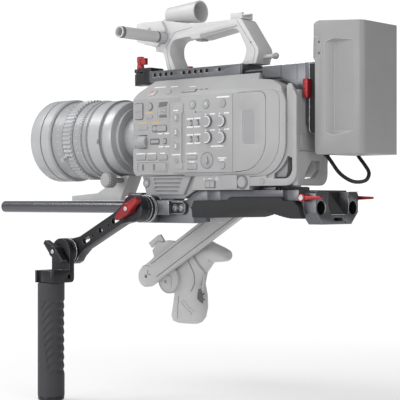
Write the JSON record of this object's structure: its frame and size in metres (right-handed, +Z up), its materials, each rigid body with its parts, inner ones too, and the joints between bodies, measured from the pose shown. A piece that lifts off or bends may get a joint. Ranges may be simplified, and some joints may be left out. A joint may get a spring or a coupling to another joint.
{
  "type": "shoulder-mounted cinema camera rig",
  "caption": "Cinema camera with lens on a rod-based shoulder support with side hand grip, top handle, rear battery and clamping levers.",
  "frame": {"origin": "on the rear rod clamp's rear face, on the centre line, on the bar below the two bores; the 15 mm rod axes lie 8.8 mm above it", "axes": "+X to the operator's left, +Y rearward (the lens looks along -Y), +Z up"},
  "size_m": [0.2398, 0.586, 0.4858],
  "materials": {
    "rig_grey_metal": "anodised grey, fine bead-blasted, satin",
    "rig_black_metal": "anodised black, satin",
    "red_metal": "anodised red, satin",
    "pad_rubber": "dark ribbed rubber, matte",
    "grip_rubber": "charcoal moulded rubber, matte, wavy ribs",
    "camera_shell": "pale grey moulded shell, fine texture",
    "camera_dark": "mid grey moulding, matte",
    "lens_metal": "pale grey satin paint",
    "cable_jacket": "black smooth jacket",
    "optical_glass": "coated glass"
  },
  "bodies": {
    "rig_frame": {"accessory_shoe": "camera_shell", "camera_body": "camera_shell", "camera_slide_plate": "rig_grey_metal", "front_lens": "optical_glass", "front_rod_clamp": "rig_grey_metal", "image_sensor": "optical_glass", "lens_barrel": "lens_metal", "lens_foot": "camera_dark", "lens_hood": "lens_metal", "lens_mount": "lens_metal", "microphone_holder": "camera_shell", "operator_panel": "camera_shell", "rear_guard": "camera_shell", "rear_module": "camera_dark", "rear_rod_clamp": "rig_grey_metal", "shoulder_base": "rig_grey_metal", "shoulder_pad": "pad_rubber", "side_rosette": "rig_black_metal", "top_handle": "camera_shell", "top_plate": "rig_grey_metal", "top_rod_clamp": "rig_black_metal", "vent_grille": "camera_dark"},
    "rod_left_body": {"rod_left": "rig_black_metal"},
    "rod_right_body": {"rod_right": "rig_black_metal"},
    "rear_lever_left_body": {"rear_lever_left": "red_metal"},
    "rear_lever_right_body": {"rear_lever_right": "red_metal"},
    "front_lever_body": {"front_lever": "red_metal"},
    "arm_body": {"extension_arm": "rig_black_metal"},
    "arm_lever_body": {"arm_lever": "red_metal"},
    "grip_body": {"grip_bracket": "rig_black_metal", "hand_grip": "grip_rubber", "grip_core": "rig_black_metal", "grip_end_cap": "rig_black_metal"},
    "bracket_lever_body": {"bracket_lever": "rig_black_metal"},
    "top_clamp_lever_body": {"top_clamp_lever": "red_metal"},
    "thumb_screw_body": {"plate_thumb_screw": "red_metal"},
    "battery_bracket_body": {"bracket_rod_left": "rig_black_metal", "bracket_rod_right": "rig_black_metal", "battery_bracket": "rig_grey_metal", "battery_plate": "rig_grey_metal", "power_cable": "cable_jacket"},
    "release_lever_body": {"battery_release_lever": "red_metal"},
    "battery_body": {"battery_pack": "camera_shell"},
    "iris_body": {"iris_ring": "lens_metal"},
    "zoom_body": {"zoom_ring": "lens_metal"},
    "focus_body": {"focus_ring": "lens_metal"},
    "foot_knob_body": {"lens_foot_knob": "camera_dark"},
    "viewfinder_rod_body": {"viewfinder_rod": "camera_shell"},
    "filter_dial_body": {"filter_dial": "camera_shell"},
    "joystick_body": {"menu_joystick": "camera_shell"},
    "door_body": {"panel_door": "camera_shell"},
    "camera_arm_body": {"camera_grip_arm": "camera_shell"},
    "camera_grip_body": {"camera_grip": "camera_shell"},
    "audio_dial_1_body": {"audio_dial_1": "camera_shell"},
    "audio_dial_2_body": {"audio_dial_2": "camera_shell"},
    "audio_dial_3_body": {"audio_dial_3": "camera_shell"},
    "audio_dial_4_body": {"audio_dial_4": "camera_shell"},
    "assign_button_1_body": {"assign_button_1": "camera_shell"},
    "assign_button_2_body": {"assign_button_2": "camera_shell"},
    "assign_button_3_body": {"assign_button_3": "camera_shell"}
  },
  "joints": [
    {"name": "rod_left_slide", "type": "slide", "parent": "rig_frame", "child": "rod_left_body", "axis": [0, -1, 0], "range_m": [-0.048, 0.03]},
    {"name": "rod_right_slide", "type": "slide", "parent": "rig_frame", "child": "rod_right_body", "axis": [0, -1, 0], "range_m": [-0.048, 0.03]},
    {"name": "rear_lever_left_turn", "type": "hinge", "parent": "rig_frame", "child": "rear_lever_left_body", "pos_m": [0.0403, -0.011, 0.0198], "axis": [1, 0, 0], "range_deg": [-20, 90]},
    {"name": "rear_lever_right_turn", "type": "hinge", "parent": "rig_frame", "child": "rear_lever_right_body", "pos_m": [-0.0403, -0.011, 0.0198], "axis": [1, 0, 0], "range_deg": [-20, 90]},
    {"name": "front_lever_turn", "type": "hinge", "parent": "rig_frame", "child": "front_lever_body", "pos_m": [0.0403, -0.2745, 0.0198], "axis": [1, 0, 0], "range_deg": [0, 90]},
    {"name": "arm_swing", "type": "hinge", "parent": "rig_frame", "child": "arm_body", "pos_m": [0.07, -0.236, 0.0073], "axis": [1, 0, 0], "range_deg": [-75, 60]},
    {"name": "arm_lever_turn", "type": "hinge", "parent": "arm_body", "child": "arm_lever_body", "pos_m": [0.085, -0.236, 0.0073], "axis": [1, 0, 0], "continuous": true},
    {"name": "grip_tilt", "type": "hinge", "parent": "arm_body", "child": "grip_body", "pos_m": [0.0848, -0.3425, -0.0452], "axis": [1, 0, 0], "range_deg": [-60, 60]},
    {"name": "bracket_lever_turn", "type": "hinge", "parent": "grip_body", "child": "bracket_lever_body", "pos_m": [0.103, -0.3425, -0.0452], "axis": [1, 0, 0], "continuous": true},
    {"name": "top_clamp_lever_turn", "type": "hinge", "parent": "rig_frame", "child": "top_clamp_lever_body", "pos_m": [0.012, -0.29, 0.18], "axis": [0, 0, 1], "continuous": true},
    {"name": "thumb_screw_turn", "type": "hinge", "parent": "rig_frame", "child": "thumb_screw_body", "pos_m": [0, -0.218, 0.1746], "axis": [0, 0, 1], "continuous": true},
    {"name": "bracket_slide", "type": "slide", "parent": "rig_frame", "child": "battery_bracket_body", "axis": [0, 1, 0], "range_m": [0, 0.03]},
    {"name": "battery_lift", "type": "slide", "parent": "battery_bracket_body", "child": "battery_body", "axis": [0, 0, 1], "range_m": [0, 0.03]},
    {"name": "release_press", "type": "slide", "parent": "battery_bracket_body", "child": "release_lever_body", "axis": [0, 0, -1], "range_m": [0, 0.004]},
    {"name": "iris_turn", "type": "hinge", "parent": "rig_frame", "child": "iris_body", "pos_m": [0, -0.3375, 0.0953], "axis": [0, 1, 0], "range_deg": [-30, 60]},
    {"name": "zoom_turn", "type": "hinge", "parent": "rig_frame", "child": "zoom_body", "pos_m": [0, -0.3624, 0.0953], "axis": [0, 1, 0], "range_deg": [-45, 75]},
    {"name": "focus_turn", "type": "hinge", "parent": "rig_frame", "child": "focus_body", "pos_m": [0, -0.38725, 0.0953], "axis": [0, 1, 0], "range_deg": [-120, 150]},
    {"name": "foot_knob_turn", "type": "hinge", "parent": "rig_frame", "child": "foot_knob_body", "pos_m": [0.0163, -0.32, 0.0433], "axis": [1, 0, 0], "continuous": true},
    {"name": "viewfinder_rod_slide", "type": "slide", "parent": "rig_frame", "child": "viewfinder_rod_body", "axis": [1, 0, 0], "range_m": [-0.045, 0.01]},
    {"name": "audio_dial_1_turn", "type": "hinge", "parent": "rig_frame", "child": "audio_dial_1_body", "pos_m": [0.053, -0.144, 0.1075], "axis": [1, 0, 0], "range_deg": [-150, 150]},
    {"name": "audio_dial_2_turn", "type": "hinge", "parent": "rig_frame", "child": "audio_dial_2_body", "pos_m": [0.053, -0.1232, 0.1071], "axis": [1, 0, 0], "range_deg": [-150, 150]},
    {"name": "audio_dial_3_turn", "type": "hinge", "parent": "rig_frame", "child": "audio_dial_3_body", "pos_m": [0.053, -0.144, 0.089], "axis": [1, 0, 0], "range_deg": [-150, 150]},
    {"name": "audio_dial_4_turn", "type": "hinge", "parent": "rig_frame", "child": "audio_dial_4_body", "pos_m": [0.053, -0.1232, 0.0886], "axis": [1, 0, 0], "range_deg": [-150, 150]},
    {"name": "assign_button_1_press", "type": "slide", "parent": "rig_frame", "child": "assign_button_1_body", "axis": [-1, 0, 0], "range_m": [0, 0.0008]},
    {"name": "assign_button_2_press", "type": "slide", "parent": "rig_frame", "child": "assign_button_2_body", "axis": [-1, 0, 0], "range_m": [0, 0.0008]},
    {"name": "assign_button_3_press", "type": "slide", "parent": "rig_frame", "child": "assign_button_3_body", "axis": [-1, 0, 0], "range_m": [0, 0.0008]},
    {"name": "joystick_press", "type": "slide", "parent": "rig_frame", "child": "joystick_body", "axis": [-1, 0, 0], "range_m": [0, 0.0005]},
    {"name": "filter_dial_turn", "type": "hinge", "parent": "rig_frame", "child": "filter_dial_body", "pos_m": [0.0475, -0.2428, 0.087], "axis": [0, 1, 0], "range_deg": [-120, 120]},
    {"name": "door_swing", "type": "hinge", "parent": "rig_frame", "child": "door_body", "pos_m": [0.053, -0.106, 0.0932], "axis": [0, 0, -1], "range_deg": [0, 90]},
    {"name": "camera_arm_swing", "type": "hinge", "parent": "rig_frame", "child": "camera_arm_body", "pos_m": [-0.06, -0.138, 0.0448], "axis": [1, 0, 0], "range_deg": [-30, 70]},
    {"name": "camera_grip_tilt", "type": "hinge", "parent": "camera_arm_body", "child": "camera_grip_body", "pos_m": [-0.0722, -0.354, -0.0832], "axis": [1, 0, 0], "range_deg": [-60, 60]}
  ]
}
